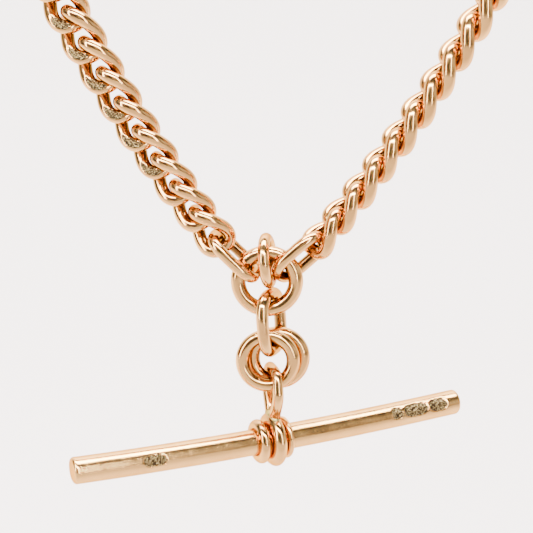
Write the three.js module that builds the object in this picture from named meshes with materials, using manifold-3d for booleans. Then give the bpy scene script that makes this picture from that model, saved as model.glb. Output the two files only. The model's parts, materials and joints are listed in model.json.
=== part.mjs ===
import * as THREE from "three";
import { mergeVertices } from "three/addons/utils/BufferGeometryUtils.js";
import Module from "manifold-3d";

// Pocket watch chain: two legs of curb links that hang from swivel clasps and meet at a centre ring,
// from which a short drop carries the T-bar. Millimetres, +Z up, -Y is the front. The legs hang in the
// plane Y = 0, and the origin is halfway between the centres of the two clasps' eyes.

// Curb links, from the centre outwards
const LINKS = 12; // in each leg
const LINK_PITCH = 2.66; // of the link nearest the centre
const LINK_GROWTH = 0.004; // by which each next link is larger
const LINK_WIRE = 1.1;
const LINK_HALF_WIDTH = 1.34; // of the wire's centre line
const LINK_GAP = 0.09; // between the wires of two links, at their ends
const LINK_TWIST = -100; // degrees, from one end of a link to the other
const LINK_SQUARE = 2.5; // 2 is an ellipse, more is squarer
const LEG_ANGLE = { low: 38.6, high: 25.4 }; // degrees from the vertical, at the centre and at the clasp
const LINK_ROLL = { left: [-40, -23], right: [100, 91] }; // degrees about the leg, low and high
const GAP = 0.08; // between the wires of two rings
const END_GAP = 0.12; // at both ends of an end link

// Rings and plain links: half length and half width of the wire's centre line, and the wire
const CENTRE_RING = { half: 2.4, halfWidth: 2.4, wire: 1.24 };
const LOOSE_RING = { half: 1.85, halfWidth: 1.85, wire: 0.96 };
const DROP_LINK = { half: 2.34, halfWidth: 2.08, wire: 1.02, square: 3 };
const LOWER_RING = { half: 2.13, halfWidth: 2.13, wire: 1.13 };
const END_LINK = { half: 2.3, halfWidth: 1.62, wire: 1.0, square: 3 };
const END_LINK_ANGLE = 47; // degrees from the vertical
const END_LINK_ROLL = { left: 11, right: 34 };
const CROSS_ANGLE = 35; // where the end links go round the centre ring, above its middle
const LOOSE_YAW = 9; // degrees that the back of the loose ring is to the right
const LOOSE_LEAN = 0.12; // its bottom to the right
const LOOSE_X = -0.2; // its top
const DROP_YAW = 20;
const DROP_LEAN = 0.1;
const DROP_X = 0.22;
const LOWER_YAW = 6;
const LOWER_SHIFT = { front: -0.42, back: 0.32 }; // along X, from the drop link's bottom

// T-bar
const BAR = { length: 35.8, diameter: 2.22, edge: 0.3, yaw: 24, tilt: 3.2, bow: 0.4, x: 1.0, z: -13.75 };
const BAND = { outer: 2.34, width: 1.3, x: -0.27 }; // x along the bar, from its middle
const COLLARS = [["left", -1, { outer: 1.9, width: 0.95 }], ["right", 1, { outer: 1.8, width: 0.6 }]];
const COLLAR_GAP = 0.12; // between the band and a collar
const BAND_EDGE = 0.25; // height of the band's and the collars' straight sides
const BAIL = {
  halfWidth: 1.95,
  footHalfWidth: 0.62,
  top: 0.84,
  foot: 0.98,
  square: 4,
  footHeight: 2.0,
  yaw: 14,
};
const BAIL_SPREAD = [-0.05, 0.6]; // share of the bail's height over which it widens
const BAIL_GAP = 0.096; // between the bail and the lower rings
const SEAT_CORE = { radius: 1.5, half: 0.95 }; // kept clear under the bail
const BORE_GAP = 0.05; // between the bar and the rings on it

// Swivel clasp, X outwards from its eye's centre and Y towards its gate
const EYE = { half: 1.95, halfWidth: 1.95, wire: 1.1 };
const POST = { radius: 0.55, head: 0.95, headStart: 3.45, headEnd: 3.95 };
const BARREL = { start: 2.75, floor: 3.37, ceiling: 4.05, end: 4.45, radius: 1.6, bore: 0.64, room: 1.06 };
const HINGE = { x: 5.4, y: 1.3, eye: 0.78, bore: 0.34, pin: 0.27, pinLength: 2.2 };
const LUG = { inside: 0.5, thickness: 0.5, radius: 0.72 };
const GATE = { tipX: 10.9, tipY: 3.0, radius: 0.4, tabX: 7.3, tabRadius: 0.5, tabTop: 3.1 };
const TAB_FOOT = 0.28; // radius of the tab's foot, on the gate
const BORE_HALF = 2; // half the depth that the pin's bore is cut to
const HOOK_ROOT = 0.85; // radius of the hook's wire at the barrel
const HOOK_TIP = 0.52;
const HOOK_LINE = [
  [4.2, -0.8], [5.3, -2.8], [7.0, -4.4], [9.4, -5.1], [11.9, -4.4],
  [13.6, -2.3], [14.1, 0.2], [13.5, 2.5], [12.1, 3.85], [10.6, 4.3],
];

const GOLD = 0xd9a17c;
const SOLDER_GOLD = 0xcdb277;
const rad = THREE.MathUtils.degToRad;
const v3 = (x, y, z) => new THREE.Vector3(x, y, z);
const along = (p, t, d) => p.clone().addScaledVector(t, d);
const turned = (v, axis, degrees) => v.clone().applyAxisAngle(axis, rad(degrees));
const wasm = await Module();
wasm.setup();

const group = new THREE.Group();

function add(name, geometry, matrix, color = GOLD) {
  const material = new THREE.MeshStandardMaterial({ color, metalness: 1, roughness: 0.2 });
  const mesh = new THREE.Mesh(geometry, material);
  mesh.name = name;
  mesh.applyMatrix4(matrix);
  group.add(mesh);
}

// Places local X along t and local Z along n, at p.
function place(p, t, n) {
  const x = t.clone().normalize();
  const z = n.clone().addScaledVector(x, -n.dot(x)).normalize();
  const y = z.clone().cross(x);
  return new THREE.Matrix4().makeBasis(x, y, z).setPosition(p);
}

// A wire of round section: at(u) gives its centre line for u from 0 to 1, flat(u) a vector across it
// and radius(u) its radius. A closed wire joins its own start, an open one has flat ends.
function wireGeometry(at, flat, radius, steps, sides, closed = true) {
  const points = [];
  const index = [];
  const rows = closed ? steps : steps + 1;
  for (let i = 0; i < rows; i++) {
    const u = i / steps;
    const centre = at(u);
    const low = closed ? u - 1e-3 : Math.max(u - 1e-3, 0);
    const high = closed ? u + 1e-3 : Math.min(u + 1e-3, 1);
    const forward = at(high).sub(at(low)).normalize();
    const across = flat(u).cross(forward).normalize();
    const up = forward.clone().cross(across);
    for (let j = 0; j < sides; j++) {
      const w = ((j + 0.5) / sides) * 2 * Math.PI;
      const p = along(centre, across, Math.cos(w) * radius(u));
      p.addScaledVector(up, Math.sin(w) * radius(u));
      points.push(p.x, p.y, p.z);
      if (i === steps) continue;
      const a = i * sides + j;
      const b = i * sides + ((j + 1) % sides);
      const c = ((i + 1) % rows) * sides + j;
      const d = ((i + 1) % rows) * sides + ((j + 1) % sides);
      index.push(a, b, c, b, d, c);
    }
  }
  if (!closed) {
    for (let j = 1; j < sides - 1; j++) {
      index.push(0, j + 1, j);
      index.push(steps * sides, steps * sides + j, steps * sides + j + 1);
    }
  }
  const geometry = new THREE.BufferGeometry();
  geometry.setAttribute("position", new THREE.Float32BufferAttribute(points, 3));
  geometry.setIndex(index);
  return geometry;
}

const power = (c, n) => Math.sign(c) * Math.abs(c) ** (2 / n);
const linkHalf = (scale) => ((LINK_PITCH + LINK_WIRE + LINK_GAP) / 2) * scale;

// A curb link: an oval twisted about its length, X, so that it lies flat in X and Y among its fellows.
function curbLink(scale) {
  const half = linkHalf(scale);
  const twist = (x) => (rad(LINK_TWIST) / 2) * (x / half);
  const across = (u) => half * power(Math.cos(2 * Math.PI * u), LINK_SQUARE);
  const at = (u) => {
    const y = LINK_HALF_WIDTH * scale * power(Math.sin(2 * Math.PI * u), LINK_SQUARE);
    return v3(across(u), y * Math.cos(twist(across(u))), y * Math.sin(twist(across(u))));
  };
  const flat = (u) => v3(0, -Math.sin(twist(across(u))), Math.cos(twist(across(u))));
  return wireGeometry(at, flat, () => (LINK_WIRE / 2) * scale, 18, 8);
}

// A plain loop in X and Y: round, or oval with squarer ends.
function loop({ half, halfWidth, wire, square = 2 }) {
  const at = (u) => {
    const x = half * power(Math.cos(2 * Math.PI * u), square);
    return v3(x, halfWidth * power(Math.sin(2 * Math.PI * u), square), 0);
  };
  return wireGeometry(at, () => v3(0, 0, 1), () => wire / 2, 22, 8);
}

// Joins or cuts closed geometries.
function solid(geometry) {
  const bare = geometry.clone();
  bare.deleteAttribute("normal");
  bare.deleteAttribute("uv");
  const merged = mergeVertices(bare, 1e-4);
  const vertProperties = Float32Array.from(merged.attributes.position.array);
  const triVerts = Uint32Array.from(merged.index.array);
  return new wasm.Manifold(new wasm.Mesh({ numProp: 3, vertProperties, triVerts }));
}

function shape(body) {
  const mesh = body.getMesh();
  const geometry = new THREE.BufferGeometry();
  geometry.setAttribute("position", new THREE.Float32BufferAttribute(mesh.vertProperties, 3));
  geometry.setIndex(new THREE.Uint32BufferAttribute(mesh.triVerts, 1));
  return geometry;
}

// A turned piece about X, from [x, radius] corners.
function turnedPiece(corners, sides) {
  const profile = corners.map(([x, r]) => new THREE.Vector2(r, x));
  return new THREE.LatheGeometry(profile, sides).rotateZ(-Math.PI / 2);
}

// A disc or rod about Z, at x and y, between two heights.
function disc(x, y, radius, low, high, sides = 16) {
  const geometry = new THREE.CylinderGeometry(radius, radius, high - low, sides);
  return geometry.rotateX(Math.PI / 2).translate(x, y, (low + high) / 2);
}

// --- the centre ring, the loose ring on top of it and the drop ---

const ringTop = CENTRE_RING.half + (CENTRE_RING.wire + LOOSE_RING.wire) / 2 + GAP;
const looseDown = v3(LOOSE_LEAN, 0, -1).normalize();
const looseMiddle = along(v3(LOOSE_X, 0, ringTop), looseDown, LOOSE_RING.half);
const looseFace = v3(Math.cos(rad(LOOSE_YAW)), -Math.sin(rad(LOOSE_YAW)), 0);
add("centre_ring", loop(CENTRE_RING), place(v3(0, 0, 0), v3(1, 0, 0), v3(0, -1, 0)));
add("top_loose_ring", loop(LOOSE_RING), place(looseMiddle, looseDown, looseFace));

const ringRoom = CENTRE_RING.half - (CENTRE_RING.wire + DROP_LINK.wire) / 2 - GAP;
const ringFloor = Math.sqrt(ringRoom ** 2 - DROP_X ** 2);
const dropTop = v3(DROP_X, 0, -ringFloor);
const dropDown = v3(DROP_LEAN, 0, -1).normalize();
const dropFace = v3(Math.cos(rad(DROP_YAW)), -Math.sin(rad(DROP_YAW)), 0);
const dropBottom = along(dropTop, dropDown, 2 * DROP_LINK.half);
add("drop_link", loop(DROP_LINK), place(along(dropTop, dropDown, DROP_LINK.half), dropDown, dropFace));

const lowerAxis = v3(Math.sin(rad(LOWER_YAW)), Math.cos(rad(LOWER_YAW)), 0);
const lowerRoom = LOWER_RING.half - (LOWER_RING.wire + DROP_LINK.wire) / 2 - GAP;
const lowerMiddle = {};
for (const [name, side] of [["front", -1], ["back", 1]]) {
  const p = along(dropBottom, lowerAxis, (side * (LOWER_RING.wire + GAP)) / 2);
  p.x += LOWER_SHIFT[name];
  p.z -= Math.sqrt(lowerRoom ** 2 - LOWER_SHIFT[name] ** 2);
  lowerMiddle[name] = p;
  add(`lower_ring_${name}`, loop(LOWER_RING), place(p, v3(1, 0, 0), lowerAxis.clone().negate()));
}

// --- the T-bar, with its band, two collars and the bail ---

const barAxis = v3(Math.cos(rad(BAR.yaw)), Math.sin(rad(BAR.yaw)), Math.tan(rad(BAR.tilt))).normalize();
const barPlace = place(v3(BAR.x, 0, BAR.z), barAxis, v3(0, 0, 1));
const barRadius = BAR.diameter / 2;
const bandPlace = place(along(v3(BAR.x, 0, BAR.z), barAxis, BAND.x), barAxis, v3(0, 0, 1));
const byBand = (x) => bandPlace.clone().multiply(new THREE.Matrix4().makeTranslation(x, 0, 0));
const stations = [-1, -0.6, -0.3, 0, 0.3, 0.6, 1].map((f) => f * (BAR.length / 2 - BAR.edge));
const barBody = turnedPiece([
  [-BAR.length / 2, 0],
  [-BAR.length / 2, barRadius - BAR.edge],
  ...stations.map((x) => [x, barRadius]),
  [BAR.length / 2, barRadius - BAR.edge],
  [BAR.length / 2, 0],
], 20);
const spots = barBody.attributes.position;
for (let i = 0; i < spots.count; i++) {
  spots.setZ(i, spots.getZ(i) + BAR.bow * (spots.getX(i) / (BAR.length / 2)) ** 2);
}
add("tbar_bar", barBody, barPlace);

// A ring of half-round section about X.
function band({ outer, width }) {
  const inner = barRadius + BORE_GAP;
  const corners = [[-width / 2, inner]];
  for (let i = 0; i <= 6; i++) {
    const w = (i / 6 - 0.5) * Math.PI;
    corners.push([(width / 2) * Math.sin(w), inner + BAND_EDGE + (outer - inner - BAND_EDGE) * Math.cos(w)]);
  }
  corners.push([width / 2, inner], [-width / 2, inner]);
  return turnedPiece(corners, 24);
}
add("tbar_band", band(BAND), bandPlace);
for (const [name, sign, collar] of COLLARS) {
  add(`tbar_collar_${name}`, band(collar), byBand(sign * ((BAND.width + collar.width) / 2 + COLLAR_GAP)));
}

// The bail is a U through both lower rings, cut to sit on the band and soldered a little askew.
const bailRoom = LOWER_RING.half - (LOWER_RING.wire + BAIL.top) / 2 - BAIL_GAP;
const bailX = (lowerMiddle.front.x + lowerMiddle.back.x) / 2;
const bailSkew = (p) => bailX - Math.tan(rad(BAIL.yaw)) * p.y - p.x;
const bailFloor = (p) => p.z - Math.sqrt(bailRoom ** 2 - bailSkew(p) ** 2);
const bailHigh = Math.max(bailFloor(lowerMiddle.front), bailFloor(lowerMiddle.back));
const bailTop = v3(bailX, 0, bailHigh).applyMatrix4(bandPlace.clone().invert());
const bailTurn = rad(BAR.yaw - BAIL.yaw);
const bailLine = (u) => {
  const rise = power(Math.max(Math.sin(Math.PI * u), 0), BAIL.square);
  const spread = THREE.MathUtils.smoothstep(rise, ...BAIL_SPREAD);
  const halfWidth = BAIL.footHalfWidth + (BAIL.halfWidth - BAIL.footHalfWidth) * spread;
  const y = -halfWidth * power(Math.cos(Math.PI * u), BAIL.square);
  const z = BAIL.footHeight + (bailTop.z - BAIL.footHeight) * rise;
  const lean = z / bailTop.z;
  return v3(bailTop.x * lean + y * Math.sin(bailTurn), bailTop.y * lean + y * Math.cos(bailTurn), z);
};
const bailRadius = (u) => (BAIL.foot + (BAIL.top - BAIL.foot) * Math.sin(Math.PI * u)) / 2;
const bailWire = wireGeometry(bailLine, () => v3(1, 0, 0), bailRadius, 22, 8, false);
const seat = { outer: BAND.outer + BORE_GAP, width: BAND.width + 2 * BORE_GAP };
const core = turnedPiece([
  [-SEAT_CORE.half, 0],
  [-SEAT_CORE.half, SEAT_CORE.radius],
  [SEAT_CORE.half, SEAT_CORE.radius],
  [SEAT_CORE.half, 0],
], 24);
const seatBody = solid(band(seat)).add(solid(core));
add("tbar_bail", shape(solid(bailWire).subtract(seatBody)), bandPlace, SOLDER_GOLD);

// --- the clasps, in the clasp's own frame ---

// The eye, with the swivel post and its head.
function swivelEye() {
  const post = turnedPiece([
    [EYE.half, 0],
    [EYE.half, POST.radius],
    [POST.headStart, POST.radius],
    [POST.headStart, POST.head],
    [POST.headEnd, POST.head],
    [POST.headEnd, 0],
  ], 16);
  return shape(solid(loop(EYE)).add(solid(post)));
}

// The barrel that turns on the post, with the hook and the gate's two lugs.
function swivelHook() {
  const barrel = turnedPiece([
    [BARREL.ceiling, 0],
    [BARREL.ceiling, BARREL.room],
    [BARREL.floor, BARREL.room],
    [BARREL.floor, BARREL.bore],
    [BARREL.start, BARREL.bore],
    [BARREL.start, BARREL.radius],
    [BARREL.end, BARREL.radius],
    [BARREL.end, 0],
  ], 20);
  const curve = new THREE.CatmullRomCurve3(HOOK_LINE.map(([x, y]) => v3(x, y, 0)), false, "centripetal");
  const thickness = (u) => HOOK_ROOT + (HOOK_TIP - HOOK_ROOT) * u;
  const hook = wireGeometry((u) => curve.getPointAt(u), () => v3(0, 0, 1), thickness, 22, 10, false);
  let body = solid(barrel).add(solid(hook));
  for (const side of [-1, 1]) {
    const [low, high] = [LUG.inside, LUG.inside + LUG.thickness].map((z) => z * side).sort((a, b) => a - b);
    const root = new THREE.BoxGeometry(HINGE.x - BARREL.ceiling, 2 * LUG.radius, high - low);
    root.translate((HINGE.x + BARREL.ceiling) / 2, HINGE.y, (low + high) / 2);
    const lug = solid(root).add(solid(disc(HINGE.x, HINGE.y, LUG.radius, low, high)));
    body = body.add(lug);
  }
  const inside = solid(turnedPiece([
    [BARREL.floor, 0],
    [BARREL.floor, BARREL.room],
    [BARREL.ceiling, BARREL.room],
    [BARREL.ceiling, 0],
  ], 20));
  const bore = disc(HINGE.x, HINGE.y, HINGE.bore, -BORE_HALF, BORE_HALF, 12);
  return shape(body.subtract(inside).subtract(solid(bore)));
}

// The gate: an eye on the pin, a tapered lever to the hook's tip and a thumb tab.
function swivelGate() {
  const start = v3(HINGE.x, HINGE.y, 0);
  const end = v3(GATE.tipX, GATE.tipY, 0);
  const line = (u) => start.clone().lerp(end, u);
  const lever = wireGeometry(line, () => v3(0, 0, 1), () => GATE.radius, 6, 8, false);
  const eye = disc(HINGE.x, HINGE.y, HINGE.eye, -GATE.radius, GATE.radius);
  const share = (GATE.tabX - HINGE.x) / (GATE.tipX - HINGE.x);
  const tabY = HINGE.y + share * (GATE.tipY - HINGE.y);
  const tab = new THREE.CylinderGeometry(GATE.tabRadius, TAB_FOOT, GATE.tabTop - tabY, 12);
  tab.translate(GATE.tabX, (GATE.tabTop + tabY) / 2, 0);
  const bore = disc(HINGE.x, HINGE.y, HINGE.bore, -BORE_HALF, BORE_HALF, 12);
  return shape(solid(lever).add(solid(eye)).add(solid(tab)).subtract(solid(bore)));
}

const gatePin = disc(HINGE.x, HINGE.y, HINGE.pin, -HINGE.pinLength / 2, HINGE.pinLength / 2, 12);

// --- the two legs: end link, curb links and clasp ---

const hang = v3(0, 0, 0);
for (const side of ["left", "right"]) {
  const sign = side === "left" ? -1 : 1;
  const cross = v3(sign * Math.cos(rad(CROSS_ANGLE)), 0, Math.sin(rad(CROSS_ANGLE)));
  cross.multiplyScalar(CENTRE_RING.half);
  const out = v3(sign * Math.sin(rad(END_LINK_ANGLE)), 0, Math.cos(rad(END_LINK_ANGLE)));
  const middle = along(cross, out, END_LINK.half - (END_LINK.wire + CENTRE_RING.wire) / 2 - END_GAP);
  const flat = v3(sign * out.z, 0, -sign * out.x);
  const face = turned(flat, out, -END_LINK_ROLL[side]);
  add(`${side}_end_link`, loop(END_LINK), place(middle, out, face));

  const [lowRoll, highRoll] = LINK_ROLL[side];
  const reach = linkHalf(1) - (LINK_WIRE + END_LINK.wire) / 2 - END_GAP;
  let point = along(middle, out, END_LINK.half);
  let leg;
  let end;
  for (let k = 0; k < LINKS; k++) {
    const share = k / (LINKS - 1);
    const scale = 1 + LINK_GROWTH * k;
    const angle = rad(LEG_ANGLE.low + (LEG_ANGLE.high - LEG_ANGLE.low) * share);
    leg = v3(sign * Math.sin(angle), 0, Math.cos(angle));
    point = along(point, leg, k ? LINK_PITCH * scale : reach);
    const normal = turned(v3(0, -1, 0), leg, lowRoll + (highRoll - lowRoll) * share);
    add(`${side}_curb_link_${String(k + 1).padStart(2, "0")}`, curbLink(scale), place(point, leg, normal));
    const cant = turned(normal.clone().cross(leg), leg, LINK_TWIST / 2);
    end = { normal: cant, half: linkHalf(scale), wire: LINK_WIRE * scale };
  }

  const eyeMiddle = along(point, leg, end.half - (end.wire + EYE.wire) / 2 - GAP + EYE.half);
  const claspAt = place(eyeMiddle, leg, v3(0, sign, 0));
  add(`${side}_swivel_eye`, swivelEye(), place(eyeMiddle, leg, end.normal));
  add(`${side}_swivel_hook`, swivelHook(), claspAt);
  add(`${side}_swivel_gate`, swivelGate(), claspAt);
  add(`${side}_gate_pin`, gatePin.clone(), claspAt);
  hang.addScaledVector(eyeMiddle, 0.5);
}

const chain = new THREE.Group();
chain.add(group);
group.position.copy(hang).negate();

export default chain;
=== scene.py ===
import json
import math

import bmesh
import bpy
from mathutils import Matrix, Vector, noise


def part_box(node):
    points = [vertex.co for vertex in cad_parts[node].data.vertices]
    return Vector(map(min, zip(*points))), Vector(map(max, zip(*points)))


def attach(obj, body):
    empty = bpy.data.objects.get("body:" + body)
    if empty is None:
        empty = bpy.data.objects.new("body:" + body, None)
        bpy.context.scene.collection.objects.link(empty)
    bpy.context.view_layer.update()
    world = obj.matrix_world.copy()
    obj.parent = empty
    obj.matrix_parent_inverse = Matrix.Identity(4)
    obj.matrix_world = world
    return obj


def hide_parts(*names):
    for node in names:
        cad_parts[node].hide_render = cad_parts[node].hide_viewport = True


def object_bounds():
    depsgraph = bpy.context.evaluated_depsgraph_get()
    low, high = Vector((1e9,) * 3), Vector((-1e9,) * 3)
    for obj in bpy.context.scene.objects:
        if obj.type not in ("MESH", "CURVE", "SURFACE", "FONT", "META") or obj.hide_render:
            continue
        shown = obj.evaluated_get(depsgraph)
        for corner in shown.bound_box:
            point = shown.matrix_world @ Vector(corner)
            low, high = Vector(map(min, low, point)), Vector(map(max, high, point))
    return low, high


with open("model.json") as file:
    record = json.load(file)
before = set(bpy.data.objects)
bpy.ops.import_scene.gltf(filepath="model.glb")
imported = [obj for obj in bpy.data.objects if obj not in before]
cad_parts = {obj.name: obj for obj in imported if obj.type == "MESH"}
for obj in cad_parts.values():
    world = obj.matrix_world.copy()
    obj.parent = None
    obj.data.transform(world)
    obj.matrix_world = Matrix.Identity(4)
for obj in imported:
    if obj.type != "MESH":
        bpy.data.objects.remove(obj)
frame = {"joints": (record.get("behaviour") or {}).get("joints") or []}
CAD_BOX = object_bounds()

MM = 0.001
LINKS = 12
JOINTS = {joint["name"]: joint for joint in frame["joints"]}
DEG = math.radians

# Sizes in millimetres, as in the frame
LINK = {"pitch": 2.66, "wire": 1.1, "gap": 0.09, "half_width": 1.34, "twist": -100, "square": 2.5}
LINK_GROWTH = 0.004
LINK_ROLL = {"left": (-40, -23), "right": (100, 91)}
CURB_STEPS = 160
CURB_SIDES = 40
STAMP = {"u": 0.382, "length": 0.092, "w": 0.215, "width": 0.135, "depth": 0.055, "wall": 5, "floor": 0.12}
FIRST_STAMPED = 4  # the left leg's links from this one on have a recess
SEAM = {"depth": 0.018, "width": 0.004}  # width and places are shares of the way around the loop
END_SEAM = 0.25
RING_SEAMS = {
    "centre_ring": 0.62,
    "top_loose_ring": 0.2,
    "drop_link": 0.75,
    "lower_ring_front": 0.9,
    "lower_ring_back": 0.1,
}
CENTRE_RING = {"half": 2.4, "half_width": 2.4, "wire": 1.24}
LOOSE_RING = {"half": 1.85, "half_width": 1.85, "wire": 0.96}
DROP_LINK = {"half": 2.34, "half_width": 2.08, "wire": 1.04, "square": 3}
LOWER_RING = {"half": 2.13, "half_width": 2.13, "wire": 1.15}
LOWER_WIRE = 1.13  # in the frame, where the bail hangs from it
END_LINK = {"half": 2.3, "half_width": 1.62, "wire": 1.0, "square": 3}
END_ANGLE = 47
END_ROLL = {"left": 11, "right": 34}
LOOSE_LEAN = 0.12
LOOSE_YAW = 9
DROP_LEAN = 0.1
DROP_YAW = 20
LOWER_YAW = 6
BAR = {"length": 35.8, "radius": 1.11, "edge": 0.3, "bow": 0.4}
BAND = {"outer": 2.34, "width": 1.3}
BAND_X = -0.27
BAND_EDGE = 0.25
COLLARS = (("left", -1, {"outer": 1.9, "width": 0.95}), ("right", 1, {"outer": 1.8, "width": 0.6}))
COLLAR_GAP = 0.12
BORE = 1.16
BAR_STEPS = 420
BAR_SIDES = 96
BAR_EDGE_STEPS = 6
BAR_WAVE = 0.004
BAR_WAVE_GRAIN = 0.35
MARKS = (  # along the bar, half length, degrees up from the front, half width in degrees
    (-11.2, 1.05, 12, 27),
    (11.4, 0.56, 26, 30),
    (13.3, 1.3, 26, 33),
    (15.55, 0.95, 26, 33),
)
MARK = {"depth": 0.07, "wall": 7, "floor": 0.1, "boss": 0.08, "boss_depth": 0.35}
MARK_GRAIN = (2.6, 0.055, 3.1)
BAIL = {"half_width": 1.95, "foot_half_width": 0.62, "top": 0.84, "foot": 0.98, "square": 4, "yaw": 14}
BAIL_FOOT = 2.0
BAIL_SPREAD = (-0.05, 0.6)
BAIL_GAP = 0.096
BAIL_TURN = 10
SADDLE = {"half": 1.3, "width": 0.62, "height": 0.34, "lift": 0.02, "lump": 0.12, "steps": 12, "sides": 32}
SADDLE_GRAIN = (1.7, 1.3)
EYE = {"half": 1.95, "half_width": 1.95, "wire": 1.1}
POST = {"radius": 0.55, "head": 0.95, "head_start": 3.45, "head_end": 3.95}
POST_FLARE = {"length": 0.75, "radius": 0.25}
BARREL = {"start": 2.75, "floor": 3.37, "ceiling": 4.05, "end": 4.45}
BARREL_RADIUS = {"outside": 1.6, "bore": 0.64, "room": 1.06, "closed": 0.02}
GROOVE = {"start": 3.1, "middle": 3.2, "end": 3.3, "depth": 0.12}
HINGE = {"x": 5.4, "y": 1.3, "eye": 0.78, "pin": 0.27, "pin_length": 2.2}
LUG = {"inside": 0.5, "thickness": 0.5, "radius": 0.72}
GATE = {"tip_x": 10.9, "tip_y": 3.0, "radius": 0.4, "tab_x": 7.3, "tab_radius": 0.5, "tab_top": 3.1}
GATE_TAPER = (1.08, 0.16)
GATE_DOME = 0.06  # share of the lever that its rounded tip takes
TAB_FOOT = 0.28
TAB_DOME = 0.2
WEB_FLARE = 0.25
HOOK_ROOT = 0.85
HOOK_TIP = 0.52
HOOK_DOME = 0.03
FILLET = {"disc": 0.08, "barrel": 0.1, "post": 0.12, "pin": 0.15}
FILLET_LIMIT = 0.45  # the share of an outline's side that a fillet may take
HOOK_LINE = [
    (4.2, -0.8), (5.3, -2.8), (7.0, -4.4), (9.4, -5.1), (11.9, -4.4),
    (13.6, -2.3), (14.1, 0.2), (13.5, 2.5), (12.1, 3.85), (10.6, 4.3),
]

# The camera's place from the centre ring: degrees, metres, and millimetres of lens and sensor
VIEW_ELEVATION = 12
VIEW_ROLL = 1.15
VIEW_DISTANCE = 0.108
VIEW_LENS = 87.5
VIEW_SENSOR = 36
VIEW_SHIFT = (-0.001, 0.0272)
VIEW_CLIP = 0.005

# Rows along a mesh, points around it
LOOP_MESH = (96, 28)
BAIL_MESH = (200, 32)
HOOK_MESH = (160, 32)
GATE_MESH = (60, 28)
TAB_MESH = (14, 32)
BAND_SIDES = 96
BARREL_SIDES = 72
POST_SIDES = 64
DISC_SIDES = 48
CROWN_STEPS = 16
WEB_STEPS = 8
FILLET_STEPS = 4
DIFFERENCE = 1e-4  # between two values of u, for the direction of a centre line

# The stage, in metres
SWEEP = {"front": -0.6, "back": 0.3, "half_width": 0.9, "top": 0.7, "bend": 0.12, "steps": 16, "drop": 0.04}
PAPER_SHADE = (-0.06, 0.07)  # from the front to the back, where the floor turns from grey to pale
PAPER_LIGHT = (0.90, 0.825, 0.80)
PAPER_FRONT = (0.26, 0.24, 0.23)
PAPER_GRAIN = 6
PAPER_MOTTLE = 0.08
PAPER_ROUGHNESS = 0.9

# Colours and grain of the metal
# Painted shade: the dark grey multiplied into the inner side of each wire, standing in for the shade in the
# hollows between links
PAINTED_HOLLOW_SHADE = (0.24, 0.21, 0.19)
EDGE_TINT = (0.60, 0.42, 0.28)
ROSE_LIGHT = (0.78, 0.435, 0.15)
ROSE_DARK = (0.64, 0.335, 0.115)
TONE_GRAIN = 420
WEAR_GRAIN = 1500
PIT_GRAIN = 5200
STIPPLE_GRAIN = 7500
STIPPLE_ROUGHNESS = 0.34
STIPPLE_BUMP = {"strength": 0.9, "distance": 0.00006}
POLISH_BUMP = {"strength": 0.16, "distance": 0.00003}
HOLLOW_SHADE_EDGE = (0.09, 0.24)  # shares of the way around a wire between which the painted shade fades out
# How far noise moves the edge of the painted shade
HOLLOW_SHADE_WANDER = 0.1


# --- places ---

def middle(node):
    """The middle of a CAD node's box, in metres."""
    low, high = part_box(node)
    return (low + high) / 2


def place(at, along, normal):
    """Local X along one direction and local Z along another; sizes in millimetres."""
    x = Vector(along).normalized()
    z = (Vector(normal) - x * x.dot(Vector(normal))).normalized()
    y = z.cross(x)
    turn = Matrix((x, y, z)).transposed().to_4x4()
    return Matrix.Translation(Vector(at)) @ turn @ Matrix.Scale(MM, 4)


def turned(vector, axis, degrees):
    """A vector turned about an axis."""
    return Matrix.Rotation(DEG(degrees), 3, Vector(axis)) @ Vector(vector)


def yawed(degrees):
    """The level direction this many degrees from X towards the front."""
    return Vector((math.cos(DEG(degrees)), -math.sin(DEG(degrees)), 0))


# --- meshes ---

def power(value, exponent):
    """A cosine or sine made squarer: 2 leaves an ellipse as it is."""
    return math.copysign(abs(value) ** (2 / exponent), value)


def grid_mesh(name, rows, closed_rows, capped):
    """A mesh from rows of points that close around; UV is the share of the rows and of each row."""
    mesh = bpy.data.meshes.new(name)
    work = bmesh.new()
    uv = work.loops.layers.uv.new("UVMap")
    verts = [[work.verts.new(point) for point in row] for row in rows]
    count = len(rows)
    sides = len(rows[0])
    for i in range(count if closed_rows else count - 1):
        for j in range(sides):
            following = (i + 1) % count
            beside = (j + 1) % sides
            corners = [(i, j), (i, j + 1), (i + 1, j + 1), (i + 1, j)]
            ring = [verts[i][j], verts[i][beside], verts[following][beside], verts[following][j]]
            face = work.faces.new(ring)
            face.smooth = True
            for loop, (a, b) in zip(face.loops, corners):
                loop[uv].uv = (a / count, b / sides)
    if capped:
        work.faces.new(list(reversed(verts[0])))
        work.faces.new(verts[-1])
    bmesh.ops.recalc_face_normals(work, faces=work.faces)
    work.to_mesh(mesh)
    work.free()
    return mesh


def ring_angles(sides):
    """The angles of evenly spaced points around a circle."""
    return [2 * math.pi * j / sides for j in range(sides)]


def dome(t, share, least):
    """Narrows a radius to a rounded end over the last share of a length."""
    past = max((t - (1 - share)) / share, 0)
    return math.sqrt(max(1 - past ** 2, least))


def wire_rows(at, flat, radius, steps, sides, closed=True, dent=None):
    """Rows of points around a centre line at(u); dent(u, w) says how deep the surface is pressed in."""
    rows = []
    for i in range(steps if closed else steps + 1):
        u = i / steps
        low = u - DIFFERENCE if closed else max(u - DIFFERENCE, 0)
        high = u + DIFFERENCE if closed else min(u + DIFFERENCE, 1)
        forward = (at(high) - at(low)).normalized()
        across = flat(u).cross(forward).normalized()
        up = forward.cross(across)
        row = []
        for j in range(sides):
            w = j / sides
            r = radius(u) - (dent(u, w) if dent else 0)
            angle = 2 * math.pi * w
            row.append(at(u) + across * (math.cos(angle) * r) + up * (math.sin(angle) * r))
        rows.append(row)
    return rows


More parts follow.
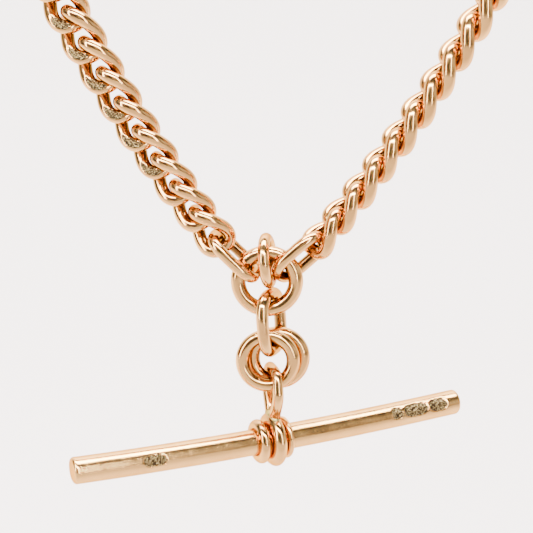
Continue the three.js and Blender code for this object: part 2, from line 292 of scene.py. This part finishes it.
def turned_rows(corners, sides):
    """Rows of a turned piece about X from (x, radius) corners."""
    rows = []
    for x, r in corners:
        rows.append([Vector((x, r * math.cos(a), r * math.sin(a))) for a in ring_angles(sides)])
    return rows


def rounded(corners, fillet):
    """The outline of a turned piece with each of its inner corners rounded off."""
    result = [corners[0]]
    for before, corner, after in zip(corners, corners[1:], corners[2:]):
        c = Vector(corner)
        a = Vector(before) - c
        b = Vector(after) - c
        size = min(fillet, a.length * FILLET_LIMIT, b.length * FILLET_LIMIT)
        start = c + a.normalized() * size
        end = c + b.normalized() * size
        for i in range(FILLET_STEPS + 1):
            t = i / FILLET_STEPS
            point = start * (1 - t) ** 2 + c * (2 * t * (1 - t)) + end * t ** 2
            result.append((point.x, point.y))
    result.append(corners[-1])
    return result


def added(name, data):
    """A new object in the scene."""
    thing = bpy.data.objects.new(name, data)
    bpy.context.scene.collection.objects.link(thing)
    return thing


def piece(name, meshes, matrix, body, metals, nodes):
    """Joins meshes, places them and makes the piece that stands for some CAD nodes."""
    work = bmesh.new()
    for mesh in meshes:
        work.from_mesh(mesh)
    joined = bpy.data.meshes.new(name)
    work.to_mesh(joined)
    work.free()
    joined.transform(matrix)
    for metal in metals if isinstance(metals, tuple) else (metals,):
        joined.materials.append(metal)
    thing = added(name, joined)
    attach(thing, body)
    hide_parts(*nodes)


def upright(u):
    """The vector across a wire that lies in X and Y."""
    return Vector((0, 0, 1))


def loop_mesh(size, seam=None):
    """A round or oval wire loop, with a faint seam where the wire's ends were soldered."""
    square = size.get("square", 2)

    def at(u):
        angle = 2 * math.pi * u
        x = size["half"] * power(math.cos(angle), square)
        return Vector((x, size["half_width"] * power(math.sin(angle), square), 0))

    def dent(u, w):
        if seam is None:
            return 0
        gap = abs((u - seam + 0.5) % 1 - 0.5)
        return SEAM["depth"] * math.exp(-((gap / SEAM["width"]) ** 2))

    radius = size["wire"] / 2
    rows = wire_rows(at, upright, lambda u: radius, *LOOP_MESH, True, dent)
    return grid_mesh("loop", rows, True, False)


# --- materials ---

def nodes_of(material):
    """A material's empty node tree with a Principled shader in it."""
    material.use_nodes = True
    tree = material.node_tree
    tree.nodes.clear()
    shader = tree.nodes.new("ShaderNodeBsdfPrincipled")
    output = tree.nodes.new("ShaderNodeOutputMaterial")
    tree.links.new(shader.outputs["BSDF"], output.inputs["Surface"])
    return tree, shader


def noise_node(tree, vector, scale, detail=3, roughness=0.6):
    """The value of a noise texture."""
    node = tree.nodes.new("ShaderNodeTexNoise")
    node.inputs["Scale"].default_value = scale
    node.inputs["Detail"].default_value = detail
    node.inputs["Roughness"].default_value = roughness
    tree.links.new(vector, node.inputs["Vector"])
    return node.outputs["Fac"]


def ramp(tree, value, stops):
    """A value turned into a colour by a list of (position, colour)."""
    node = tree.nodes.new("ShaderNodeValToRGB")
    while len(node.color_ramp.elements) < len(stops):
        node.color_ramp.elements.new(0.5)
    for element, (position, colour) in zip(node.color_ramp.elements, stops):
        element.position = position
        element.color = (*colour, 1)
    tree.links.new(value, node.inputs["Fac"])
    return node.outputs["Color"]


def grey(value):
    return (value, value, value)


def stippled(name, light, dark):
    """The floor of a struck recess: matt gold with a coarse grain, darkest where the grain's bump is lowest.
    """
    material = bpy.data.materials.new(name)
    tree, shader = nodes_of(material)
    shader.inputs["Metallic"].default_value = 1
    shader.inputs["Roughness"].default_value = STIPPLE_ROUGHNESS
    coords = tree.nodes.new("ShaderNodeTexCoord")
    grain = tree.nodes.new("ShaderNodeTexVoronoi")
    grain.inputs["Scale"].default_value = STIPPLE_GRAIN
    tree.links.new(coords.outputs["Object"], grain.inputs["Vector"])
    spots = ramp(tree, grain.outputs["Distance"], [(0.15, light), (0.6, dark)])
    tree.links.new(spots, shader.inputs["Base Color"])
    bump = tree.nodes.new("ShaderNodeBump")
    bump.inputs["Strength"].default_value = STIPPLE_BUMP["strength"]
    bump.inputs["Distance"].default_value = STIPPLE_BUMP["distance"]
    bump.invert = True
    tree.links.new(grain.outputs["Distance"], bump.inputs["Height"])
    tree.links.new(bump.outputs["Normal"], shader.inputs["Normal"])
    return material


def paint_hollow_shade(tree, colour, uv, tone):
    """Paints shade on the inner side of a wire, where V is near 0 or 1: a darkening that stands in for the
    shade in the hollows between links.
    """
    split = tree.nodes.new("ShaderNodeSeparateXYZ")
    tree.links.new(uv, split.inputs["Vector"])
    fold = tree.nodes.new("ShaderNodeMath")
    fold.operation = "PINGPONG"
    fold.inputs[1].default_value = 0.5
    tree.links.new(split.outputs["Y"], fold.inputs[0])
    edge = tree.nodes.new("ShaderNodeMath")
    edge.operation = "MULTIPLY_ADD"
    edge.inputs[1].default_value = HOLLOW_SHADE_WANDER
    tree.links.new(tone, edge.inputs[0])
    tree.links.new(fold.outputs["Value"], edge.inputs[2])
    shade = ramp(tree, edge.outputs["Value"], [(HOLLOW_SHADE_EDGE[0], PAINTED_HOLLOW_SHADE), (HOLLOW_SHADE_EDGE[1], grey(1))])
    product = tree.nodes.new("ShaderNodeVectorMath")
    product.operation = "MULTIPLY"
    tree.links.new(colour, product.inputs[0])
    tree.links.new(shade, product.inputs[1])
    return product.outputs["Vector"]


def gold(name, light, dark, roughness, streaks, pits, wire=True):
    """Polished rose gold: worn polish, fine lengthwise streaks and a few pits, all from noise."""
    material = bpy.data.materials.new(name)
    tree, shader = nodes_of(material)
    shader.inputs["Metallic"].default_value = 1
    shader.inputs["Specular Tint"].default_value = (*EDGE_TINT, 1)
    coords = tree.nodes.new("ShaderNodeTexCoord")
    place_on = coords.outputs["Object"]
    stretch = tree.nodes.new("ShaderNodeMapping")
    stretch.inputs["Scale"].default_value = streaks
    tree.links.new(coords.outputs["UV"], stretch.inputs["Vector"])
    tone = noise_node(tree, place_on, TONE_GRAIN, 4)
    colour = ramp(tree, tone, [(0.3, dark), (0.7, light)])
    # Wire pieces get painted shade on the inner side of the wire, where the hollows between links are
    if wire:
        colour = paint_hollow_shade(tree, colour, coords.outputs["UV"], tone)
    tree.links.new(colour, shader.inputs["Base Color"])
    wear = noise_node(tree, place_on, WEAR_GRAIN, 5, 0.7)
    polish = ramp(tree, wear, [(0.35, grey(roughness * 0.7)), (0.75, grey(roughness * 1.5))])
    tree.links.new(polish, shader.inputs["Roughness"])
    lines = noise_node(tree, stretch.outputs["Vector"], 1, 3, 0.7)
    fine = noise_node(tree, place_on, PIT_GRAIN, 2)
    height = tree.nodes.new("ShaderNodeMath")
    height.operation = "MULTIPLY_ADD"
    height.inputs[1].default_value = pits
    tree.links.new(fine, height.inputs[0])
    tree.links.new(lines, height.inputs[2])
    bump = tree.nodes.new("ShaderNodeBump")
    bump.inputs["Strength"].default_value = POLISH_BUMP["strength"]
    bump.inputs["Distance"].default_value = POLISH_BUMP["distance"]
    tree.links.new(height.outputs["Value"], bump.inputs["Height"])
    tree.links.new(bump.outputs["Normal"], shader.inputs["Normal"])
    return material


LINK_GOLD = gold("rose_gold_links", ROSE_LIGHT, ROSE_DARK, 0.13, (18, 3, 1), 0.5)
RING_GOLD = gold("rose_gold_rings", ROSE_LIGHT, ROSE_DARK, 0.12, (22, 3, 1), 0.5)
BAR_GOLD = gold("rose_gold_bar", (0.80, 0.455, 0.155), (0.68, 0.36, 0.115), 0.17, (9, 90, 1), 0.8, False)
FITTING_GOLD = gold("rose_gold_fittings", ROSE_LIGHT, ROSE_DARK, 0.12, (4, 40, 1), 0.6, False)
CLASP_GOLD = gold("rose_gold_clasps", ROSE_LIGHT, ROSE_DARK, 0.14, (16, 4, 1), 0.5, False)
PIN_GOLD = gold("rose_gold_pins", (0.78, 0.40, 0.14), (0.62, 0.29, 0.09), 0.2, (6, 30, 1), 1.0, False)
SOLDER_GOLD = gold("solder", (0.56, 0.47, 0.17), (0.40, 0.32, 0.10), 0.32, (10, 10, 1), 1.2, False)
STAMP_GOLD = stippled("struck_recess", (0.42, 0.29, 0.12), (0.04, 0.025, 0.012))


# --- the two legs ---

def link_half(scale):
    """Half the length of a curb link's centre line."""
    return (LINK["pitch"] + LINK["wire"] + LINK["gap"]) / 2 * scale


def curb_mesh(scale, stamped):
    """A twisted oval link; the stamped ones have a lens-shaped stippled recess on one arc."""
    half = link_half(scale)

    def twist(x):
        return DEG(LINK["twist"]) / 2 * (x / half)

    def reach(u):
        return half * power(math.cos(2 * math.pi * u), LINK["square"])

    def at(u):
        y = LINK["half_width"] * scale * power(math.sin(2 * math.pi * u), LINK["square"])
        angle = twist(reach(u))
        return Vector((reach(u), y * math.cos(angle), y * math.sin(angle)))

    def flat(u):
        angle = twist(reach(u))
        return Vector((0, -math.sin(angle), math.cos(angle)))

    def dent(u, w):
        inside = stamp_inside(u, w) if stamped else 0
        if inside <= 0:
            return 0
        return min(inside * STAMP["wall"], 1) * STAMP["depth"]

    radius = LINK["wire"] / 2 * scale
    rows = wire_rows(at, flat, lambda u: radius, CURB_STEPS, CURB_SIDES, True, dent)
    mesh = grid_mesh("curb", rows, True, False)
    if stamped:
        for face in mesh.polygons:
            u = (face.index // CURB_SIDES + 0.5) / CURB_STEPS
            w = (face.index % CURB_SIDES + 0.5) / CURB_SIDES
            face.material_index = 1 if stamp_inside(u, w) > STAMP["floor"] else 0
    return mesh


def stamp_inside(u, w):
    """More than 0 inside the recess, which is a lens with two pointed ends."""
    off_u = (u - STAMP["u"]) / STAMP["length"]
    off_w = (w - STAMP["w"]) / STAMP["width"]
    return 1 - off_u ** 2 - abs(off_w)


def leg_places(side):
    """The middle and direction of each curb link, from the hinges at its two ends."""
    pivots = [Vector(JOINTS[f"{side}_end_hinge"]["pos_m"])]
    for k in range(1, LINKS + 1):
        pivots.append(Vector(JOINTS[f"{side}_link_{k:02d}_hinge"]["pos_m"]))
    return [((a + b) / 2, (b - a).normalized()) for a, b in zip(pivots, pivots[1:])]


def make_leg(side):
    """One leg's curb links, and the end link that joins them to the centre ring."""
    low_roll, high_roll = LINK_ROLL[side]
    sign = -1 if side == "left" else 1
    for k, (at, along) in enumerate(leg_places(side)):
        share = k / (LINKS - 1)
        normal = turned((0, -1, 0), along, low_roll + (high_roll - low_roll) * share)
        number = f"{k + 1:02d}"
        name = f"{side}_curb_link_{number}"
        mesh = curb_mesh(1 + LINK_GROWTH * k, side == "left" and k + 1 >= FIRST_STAMPED)
        matrix = place(at, along, normal)
        metals = (LINK_GOLD, STAMP_GOLD)
        piece(name + "_look", [mesh], matrix, f"{side}_link_{number}", metals, [name])
    out = Vector((sign * math.sin(DEG(END_ANGLE)), 0, math.cos(DEG(END_ANGLE))))
    face = turned((sign * out.z, 0, -sign * out.x), out, -END_ROLL[side])
    node = f"{side}_end_link"
    matrix = place(middle(node), out, face)
    mesh = loop_mesh(END_LINK, END_SEAM)
    piece(node + "_look", [mesh], matrix, f"{side}_end", RING_GOLD, [node])


# --- the centre and the drop ---

def make_rings():
    """The centre ring, the loose ring in it, the drop link and the two rings under that."""
    front = Vector((0, -1, 0))
    across = Vector((1, 0, 0))
    lower_face = -Vector((math.sin(DEG(LOWER_YAW)), math.cos(DEG(LOWER_YAW)), 0))
    loose_down = Vector((LOOSE_LEAN, 0, -1))
    drop_down = Vector((DROP_LEAN, 0, -1))
    rings = [
        ("centre_ring", "centre", CENTRE_RING, across, front),
        ("top_loose_ring", "loose", LOOSE_RING, loose_down, yawed(LOOSE_YAW)),
        ("drop_link", "drop", DROP_LINK, drop_down, yawed(DROP_YAW)),
        ("lower_ring_front", "lower_front", LOWER_RING, across, lower_face),
        ("lower_ring_back", "lower_back", LOWER_RING, across, lower_face),
    ]
    for node, body, size, along, normal in rings:
        matrix = place(middle(node), along, normal)
        mesh = loop_mesh(size, RING_SEAMS[node])
        piece(node + "_look", [mesh], matrix, body, RING_GOLD, [node])


# --- the T-bar ---

def mark_inside(x, degrees):
    """More than 0 inside one of the punched cartouches, which have rounded corners."""
    best = -1
    for at, half, angle, spread in MARKS:
        off_x = abs(x - at) / half
        off_a = abs((degrees - angle + 180) % 360 - 180) / spread
        best = max(best, 1 - (off_x ** 3 + off_a ** 3) ** (1 / 3))
    return best


def mark_depth(x, degrees):
    """How deep the bar is punched; raised bosses stand in each cartouche."""
    inside = mark_inside(x, degrees)
    if inside <= 0:
        return 0
    along, around, seed = MARK_GRAIN
    boss = noise.noise(Vector((x * along, degrees * around, seed)))
    return min(inside * MARK["wall"], 1) * MARK["depth"] * (1 if boss < MARK["boss"] else MARK["boss_depth"])


def bar_lift(x):
    """How far the bent bar rises above its middle."""
    return BAR["bow"] * (x / (BAR["length"] / 2)) ** 2


def bar_row(i):
    """The bar's ring of points number i; the rings past its straight part round off its ends."""
    inner = min(max(i, 0), BAR_STEPS)
    x = -BAR["length"] / 2 + BAR["edge"] + (BAR["length"] - 2 * BAR["edge"]) * inner / BAR_STEPS
    radius = BAR["radius"]
    if i != inner:
        t = abs(i - inner) / BAR_EDGE_STEPS * math.pi / 2
        x += math.copysign(BAR["edge"] * math.sin(t), i - inner)
        radius -= BAR["edge"] * (1 - math.cos(t))
    row = []
    for angle in ring_angles(BAR_SIDES):
        degrees = math.degrees(math.atan2(math.sin(angle), -math.cos(angle)))
        wave = BAR_WAVE * noise.noise(Vector((x * BAR_WAVE_GRAIN, math.cos(angle), math.sin(angle))))
        deep = mark_depth(x, degrees) if i == inner else 0
        r = radius - deep + wave
        row.append(Vector((x, r * math.cos(angle), r * math.sin(angle) + bar_lift(x))))
    return row


def bar_mesh():
    """The bar, bent a little upwards to its ends, with rounded edges, punched marks and slight waves."""
    rows = [bar_row(i) for i in range(-BAR_EDGE_STEPS, BAR_STEPS + BAR_EDGE_STEPS + 1)]
    mesh = grid_mesh("bar", rows, False, True)
    for face in mesh.polygons:
        corners = [mesh.vertices[i].co for i in face.vertices]
        spot = sum(corners, Vector()) / len(corners)
        degrees = math.degrees(math.atan2(spot.z - bar_lift(spot.x), -spot.y))
        face.material_index = 1 if mark_inside(spot.x, degrees) > MARK["floor"] else 0
    return mesh


def band_mesh(outer, width):
    """A ring about X with short straight sides and a crowned face."""
    crown = []
    for i in range(CROWN_STEPS + 1):
        w = (i / CROWN_STEPS - 0.5) * math.pi
        r = BORE + BAND_EDGE + (outer - BORE - BAND_EDGE) * math.cos(w)
        crown.append((width / 2 * math.sin(w), r))
    corners = [(-width / 2, BORE)] + crown + [(width / 2, BORE)]
    return grid_mesh("band", turned_rows(corners, BAND_SIDES), True, False)


def bail_crown():
    """The bail's highest point, under the lower of the two rings that it hangs from."""
    rings = [middle(f"lower_ring_{name}") / MM for name in ("front", "back")]
    room = LOWER_RING["half"] - (LOWER_WIRE + BAIL["top"]) / 2 - BAIL_GAP
    x = (rings[0].x + rings[1].x) / 2
    floors = []
    for ring in rings:
        skew = x - math.tan(DEG(BAIL["yaw"])) * ring.y - ring.x
        floors.append(ring.z - math.sqrt(room ** 2 - skew ** 2))
    return Vector((x, 0, max(floors))) * MM


def bail_mesh(top):
    """The bail's U, wide at the top and narrow at its feet."""
    def half_width(rise):
        t = min(max((rise - BAIL_SPREAD[0]) / (BAIL_SPREAD[1] - BAIL_SPREAD[0]), 0), 1)
        spread = t * t * (3 - 2 * t)
        return BAIL["foot_half_width"] + (BAIL["half_width"] - BAIL["foot_half_width"]) * spread

    def at(u):
        rise = power(max(math.sin(math.pi * u), 0), BAIL["square"])
        y = -half_width(rise) * power(math.cos(math.pi * u), BAIL["square"])
        z = BAIL_FOOT + (top.z - BAIL_FOOT) * rise
        lean = z / top.z
        x = top.x * lean + y * math.sin(DEG(BAIL_TURN))
        return Vector((x, top.y * lean + y * math.cos(DEG(BAIL_TURN)), z))

    def eased(u):
        """The same line with its steps drawn closer together at the two feet."""
        t = u * u * (3 - 2 * u)
        return at(0.5 * (u + t))

    def radius(u):
        return (BAIL["foot"] + (BAIL["top"] - BAIL["foot"]) * math.sin(math.pi * u)) / 2

    rows = wire_rows(eased, lambda u: Vector((1, 0, 0)), radius, *BAIL_MESH, False)
    return grid_mesh("bail", rows, False, True)


def saddle_mesh(top):
    """The lumpy saddle of solder that holds the bail on the band."""
    foot = top * (BAND["outer"] / top.z)
    grain_y, grain_around = SADDLE_GRAIN
    saddle = []
    for i in range(2 * SADDLE["steps"] + 1):
        t = i / SADDLE["steps"] - 1
        y = SADDLE["half"] * t
        swell = dome(abs(t), 1, 0.02)
        crest = math.sqrt(BAND["outer"] ** 2 - y ** 2) + SADDLE["lift"]
        ring = []
        for angle in ring_angles(SADDLE["sides"]):
            around = Vector((y * grain_y, math.cos(angle) * grain_around, math.sin(angle) * grain_around))
            lump = 1 + SADDLE["lump"] * noise.noise(around)
            side = SADDLE["width"] * swell * lump * math.cos(angle)
            x = foot.x + y * math.sin(DEG(BAIL_TURN)) + side
            z = crest + SADDLE["height"] * swell * lump * math.sin(angle)
            ring.append(Vector((x, foot.y + y, z)))
        saddle.append(ring)
    return grid_mesh("solder", saddle, False, True)


def make_tbar():
    """The bar with its two collars, and the band on it with the bail."""
    spin = JOINTS["tbar_spin"]
    axis = Vector(spin["axis"])
    on_bar = place(spin["pos_m"], axis, (0, 0, 1))
    on_band = on_bar @ Matrix.Translation((BAND_X, 0, 0))
    metals = (BAR_GOLD, STAMP_GOLD)
    piece("tbar_bar_look", [bar_mesh()], on_bar, "tbar", metals, ["tbar_bar"])
    for side, sign, collar in COLLARS:
        node = f"tbar_collar_{side}"
        beside = sign * ((BAND["width"] + collar["width"]) / 2 + COLLAR_GAP)
        matrix = on_band @ Matrix.Translation((beside, 0, 0))
        mesh = band_mesh(collar["outer"], collar["width"])
        piece(node + "_look", [mesh], matrix, "tbar", FITTING_GOLD, [node])
    mesh = band_mesh(BAND["outer"], BAND["width"])
    piece("tbar_band_look", [mesh], on_band, "bail", FITTING_GOLD, ["tbar_band"])
    top = on_band.inverted() @ bail_crown()
    piece("tbar_bail_look", [bail_mesh(top)], on_band, "bail", CLASP_GOLD, ["tbar_bail"])
    piece("tbar_bail_solder", [saddle_mesh(top)], on_band, "bail", SOLDER_GOLD, [])


# --- the clasps ---

def disc_mesh(x, y, radius, low, high, fillet=FILLET["disc"]):
    """A disc or rod about Z with rounded edges."""
    outline = rounded([(low, 0), (low, radius), (high, radius), (high, 0)], fillet)
    rows = []
    for z, r in outline:
        rows.append([Vector((x + r * math.cos(a), y + r * math.sin(a), z)) for a in ring_angles(DISC_SIDES)])
    return grid_mesh("disc", rows[1:-1], False, True)


def turned_mesh(corners, fillet):
    """A turned piece about X, flat at both ends."""
    outline = rounded(corners, fillet)
    return grid_mesh("turned", turned_rows(outline[1:-1], POST_SIDES), False, True)


def smooth_path(points, u):
    """A point at share u of a Catmull-Rom curve through the points."""
    spans = len(points) - 1
    position = min(u, 0.999999) * spans
    i = int(position)
    t = position - i
    p1 = Vector((*points[i], 0))
    p2 = Vector((*points[i + 1], 0))
    p0 = Vector((*points[i - 1], 0)) if i else p1 * 2 - p2
    p3 = Vector((*points[i + 2], 0)) if i + 2 <= spans else p2 * 2 - p1
    a = p1 * 2 + (p2 - p0) * t
    b = (p0 * 2 - p1 * 5 + p2 * 4 - p3) * t ** 2
    c = (p1 * 3 - p0 - p2 * 3 + p3) * t ** 3
    return (a + b + c) / 2


def barrel_mesh():
    """The barrel, with its bore and the room for the post's head, and a groove around its outside."""
    outside = BARREL_RADIUS["outside"]
    outline = rounded([
        (BARREL["ceiling"], BARREL_RADIUS["closed"]),
        (BARREL["ceiling"], BARREL_RADIUS["room"]),
        (BARREL["floor"], BARREL_RADIUS["room"]),
        (BARREL["floor"], BARREL_RADIUS["bore"]),
        (BARREL["start"], BARREL_RADIUS["bore"]),
        (BARREL["start"], outside),
        (GROOVE["start"], outside),
        (GROOVE["middle"], outside - GROOVE["depth"]),
        (GROOVE["end"], outside),
        (BARREL["end"], outside),
        (BARREL["end"], BARREL_RADIUS["closed"]),
    ], FILLET["barrel"])
    return grid_mesh("barrel", turned_rows(outline, BARREL_SIDES), False, True)


def hook_meshes():
    """The barrel, the bow of the hook and the two lugs that hold the gate's pin."""
    def radius(u):
        return (HOOK_ROOT + (HOOK_TIP - HOOK_ROOT) * u) * dome(u, HOOK_DOME, 0.02)

    rows = wire_rows(lambda u: smooth_path(HOOK_LINE, u), upright, radius, *HOOK_MESH, False)
    meshes = [barrel_mesh(), grid_mesh("hook", rows, False, True)]
    for side in (-1, 1):
        low, high = sorted((LUG["inside"] * side, (LUG["inside"] + LUG["thickness"]) * side))
        meshes.append(disc_mesh(HINGE["x"], HINGE["y"], LUG["radius"], low, high))
        meshes.append(web_mesh(BARREL["ceiling"], HINGE["x"], HINGE["y"], LUG["radius"], low, high))
    return meshes


def web_mesh(x0, x1, y, half, low, high):
    """The flat web between the barrel and a lug, wider at the barrel."""
    rows = []
    for i in range(WEB_STEPS + 1):
        t = i / WEB_STEPS
        h = half * (1 + WEB_FLARE * (1 - t) ** 2)
        x = x0 + (x1 - x0) * t
        corners = ((y - h, low), (y + h, low), (y + h, high), (y - h, high))
        rows.append([Vector((x, corner_y, z)) for corner_y, z in corners])
    mesh = grid_mesh("web", rows, False, True)
    for face in mesh.polygons:
        face.use_smooth = False
    return mesh


def tab_mesh(foot):
    """The thumb tab: a pin along Y that widens from the lever to a domed top."""
    steps, sides = TAB_MESH
    angles = ring_angles(sides)
    rows = []
    for i in range(steps + 1):
        t = i / steps
        r = (TAB_FOOT + (GATE["tab_radius"] - TAB_FOOT) * t ** 2) * dome(t, TAB_DOME, 0.04)
        y = foot + (GATE["tab_top"] - foot) * t
        rows.append([Vector((GATE["tab_x"] + r * math.cos(a), y, r * math.sin(a))) for a in angles])
    return grid_mesh("tab", rows, False, True)


def gate_meshes():
    """The gate's lever, its eye on the pin and its thumb tab."""
    start = Vector((HINGE["x"], HINGE["y"], 0))
    end = Vector((GATE["tip_x"], GATE["tip_y"], 0))
    full, taper = GATE_TAPER

    def radius(u):
        return GATE["radius"] * (full - taper * u) * dome(u, GATE_DOME, 0.03)

    rows = wire_rows(lambda u: start.lerp(end, u), upright, radius, *GATE_MESH, False)
    lever = grid_mesh("lever", rows, False, True)
    eye = disc_mesh(HINGE["x"], HINGE["y"], HINGE["eye"], -GATE["radius"], GATE["radius"])
    share = (GATE["tab_x"] - HINGE["x"]) / (GATE["tip_x"] - HINGE["x"])
    foot = HINGE["y"] + share * (GATE["tip_y"] - HINGE["y"])
    return [lever, eye, tab_mesh(foot)]


def eye_meshes():
    """The eye, with the post that flares into it and the post's head."""
    post = turned_mesh([
        (EYE["half"], 0),
        (EYE["half"], POST["radius"] + POST_FLARE["radius"]),
        (EYE["half"] + POST_FLARE["length"], POST["radius"]),
        (POST["head_start"], POST["radius"]),
        (POST["head_start"], POST["head"]),
        (POST["head_end"], POST["head"]),
        (POST["head_end"], 0),
    ], FILLET["post"])
    return [loop_mesh(EYE), post]


def make_clasp(side):
    swivel = JOINTS[f"{side}_swivel"]
    axis = Vector(swivel["axis"])
    at = place(swivel["pos_m"], axis, -Vector(JOINTS[f"{side}_gate_hinge"]["axis"]))
    across = turned((0, -1, 0), axis, LINK_ROLL[side][1]).cross(axis)
    eye_at = place(swivel["pos_m"], axis, turned(across, axis, LINK["twist"] / 2))
    half = HINGE["pin_length"] / 2
    pin = disc_mesh(HINGE["x"], HINGE["y"], HINGE["pin"], -half, half, FILLET["pin"])
    hook = f"{side}_hook"
    parts = (
        ("eye", eye_meshes(), eye_at, "clasp_eyes", CLASP_GOLD, "clasps", "swivel_eye"),
        ("hook", hook_meshes(), at, hook, CLASP_GOLD, "clasps", "swivel_hook"),
        ("gate", gate_meshes(), at, f"{side}_gate", CLASP_GOLD, "clasps", "swivel_gate"),
        ("pin", [pin], at, hook, PIN_GOLD, "pins", "gate_pin"),
    )
    for name, meshes, matrix, body, metal, slot, node in parts:
        piece(f"{side}_{name}_look", meshes, matrix, body, metal, [f"{side}_{node}"])


# --- the stage: a pale sweep, soft boxes and the camera ---

def paper():
    """Pale paper that is greyer on the floor in front of the chain, with a faint mottle."""
    material = bpy.data.materials.new("pale_paper")
    tree, shader = nodes_of(material)
    coords = tree.nodes.new("ShaderNodeTexCoord")
    split = tree.nodes.new("ShaderNodeSeparateXYZ")
    tree.links.new(coords.outputs["Object"], split.inputs["Vector"])
    depth = tree.nodes.new("ShaderNodeMapRange")
    depth.inputs["From Min"].default_value = PAPER_SHADE[0]
    depth.inputs["From Max"].default_value = PAPER_SHADE[1]
    tree.links.new(split.outputs["Y"], depth.inputs["Value"])
    tone = noise_node(tree, coords.outputs["Object"], PAPER_GRAIN, 2)
    blend = tree.nodes.new("ShaderNodeMath")
    blend.operation = "MULTIPLY_ADD"
    blend.inputs[1].default_value = PAPER_MOTTLE
    tree.links.new(tone, blend.inputs[0])
    tree.links.new(depth.outputs["Result"], blend.inputs[2])
    shades = [(0.0, PAPER_FRONT), (1.0, PAPER_LIGHT)]
    tree.links.new(ramp(tree, blend.outputs["Value"], shades), shader.inputs["Base Color"])
    shader.inputs["Roughness"].default_value = PAPER_ROUGHNESS
    return material


def make_sweep():
    """A floor that curves up into a wall behind the chain."""
    floor = CAD_BOX[0][2] - SWEEP["drop"]
    back = SWEEP["back"]
    bend = SWEEP["bend"]
    steps = SWEEP["steps"]
    line = [(SWEEP["front"], floor), (back - bend, floor)]
    for i in range(1, steps + 1):
        angle = math.pi / 2 * i / steps
        line.append((back - bend + bend * math.sin(angle), floor + bend * (1 - math.cos(angle))))
    line.append((back, SWEEP["top"]))
    mesh = bpy.data.meshes.new("sweep")
    verts = [(x, y, z) for y, z in line for x in (-SWEEP["half_width"], SWEEP["half_width"])]
    faces = [(2 * i, 2 * i + 1, 2 * i + 3, 2 * i + 2) for i in range(len(line) - 1)]
    mesh.from_pydata(verts, [], faces)
    for face in mesh.polygons:
        face.use_smooth = True
    mesh.materials.append(paper())
    sweep = added("sweep", mesh)


def aimed(at, target):
    """The matrix of a thing at one place that faces another."""
    aim = (Vector(target) - Vector(at)).to_track_quat("-Z", "Y")
    return Matrix.Translation(Vector(at)) @ aim.to_matrix().to_4x4()


def make_softbox(name, at, target, width, height, watts):
    """A rectangular soft light."""
    lamp = bpy.data.lights.new(name, "AREA")
    lamp.shape = "RECTANGLE"
    lamp.size = width
    lamp.size_y = height
    lamp.energy = watts
    added(name, lamp).matrix_world = aimed(at, target)


def make_card(name, at, target, width, height, shade):
    """A card out of the camera's sight that the metal reflects."""
    mesh = bpy.data.meshes.new(name)
    w = width / 2
    h = height / 2
    mesh.from_pydata([(-w, -h, 0), (w, -h, 0), (w, h, 0), (-w, h, 0)], [], [(0, 1, 2, 3)])
    material = bpy.data.materials.new(name)
    shader = nodes_of(material)[1]
    shader.inputs["Base Color"].default_value = (*grey(shade), 1)
    shader.inputs["Roughness"].default_value = 1
    mesh.materials.append(material)
    card = added(name, mesh)
    card.matrix_world = aimed(at, target)
    card.visible_camera = False
    card.visible_shadow = False


def make_world():
    """A room of large soft lights and darks for the metal to reflect."""
    world = bpy.data.worlds.new("room")
    world.use_nodes = True
    tree = world.node_tree
    coords = tree.nodes.new("ShaderNodeTexCoord")
    shapes = noise_node(tree, coords.outputs["Generated"], 1.7, 1.5, 0.45)
    shades = [(0.36, grey(0.1)), (0.46, grey(0.3)), (0.54, (0.62, 0.61, 0.6)), (0.68, (1.2, 1.18, 1.16))]
    tree.links.new(ramp(tree, shapes, shades), tree.nodes["Background"].inputs["Color"])
    tree.nodes["Background"].inputs["Strength"].default_value = 1.0
    bpy.context.scene.world = world


def make_lights(target):
    """Each light or card: its name, place, target, width and height in metres, then watts or its shade."""
    make_softbox("top_box", (-0.05, -0.27, 0.24), target, 0.5, 0.04, 4.5)
    make_softbox("left_box", (-0.34, -0.22, 0.1), target, 0.05, 0.4, 1.8)
    make_softbox("right_box", (0.16, -0.28, 0.05), target, 0.02, 0.3, 0.7)
    make_softbox("wall_box", (0, 0.02, 0.5), (0, 0.3, 0.0), 0.6, 0.2, 15)
    make_card("front_card", (-0.05, -0.3, -0.03), target, 0.04, 0.4, 0.05)
    make_card("left_card", (-0.2, -0.24, -0.02), target, 0.06, 0.5, 0.05)
    make_card("right_card", (0.24, -0.22, -0.02), target, 0.06, 0.5, 0.05)
    make_card("low_card", (0, -0.16, -0.22), target, 0.5, 0.08, 0.06)


def make_camera(target):
    """The camera, in front of the chain, a little above it and turned a little about its own axis."""
    elevation = DEG(VIEW_ELEVATION)
    back = Vector((0, -math.cos(elevation), math.sin(elevation)))
    right = Vector((1, 0, 0))
    up = back.cross(right)
    roll = DEG(VIEW_ROLL)
    side = right * math.cos(roll) + up * math.sin(roll)
    head = up * math.cos(roll) - right * math.sin(roll)
    camera = bpy.data.cameras.new("camera")
    camera.lens = VIEW_LENS
    camera.sensor_width = VIEW_SENSOR
    camera.shift_x, camera.shift_y = VIEW_SHIFT
    camera.clip_start = VIEW_CLIP
    thing = added("camera", camera)
    turn = Matrix((side, head, back)).transposed().to_4x4()
    thing.matrix_world = Matrix.Translation(target + back * VIEW_DISTANCE) @ turn
    bpy.context.scene.camera = thing


centre = middle("centre_ring")
make_camera(centre)
make_leg("left")
make_leg("right")
make_rings()
make_tbar()
make_clasp("left")
make_clasp("right")
make_sweep()
make_lights(centre)
make_world()
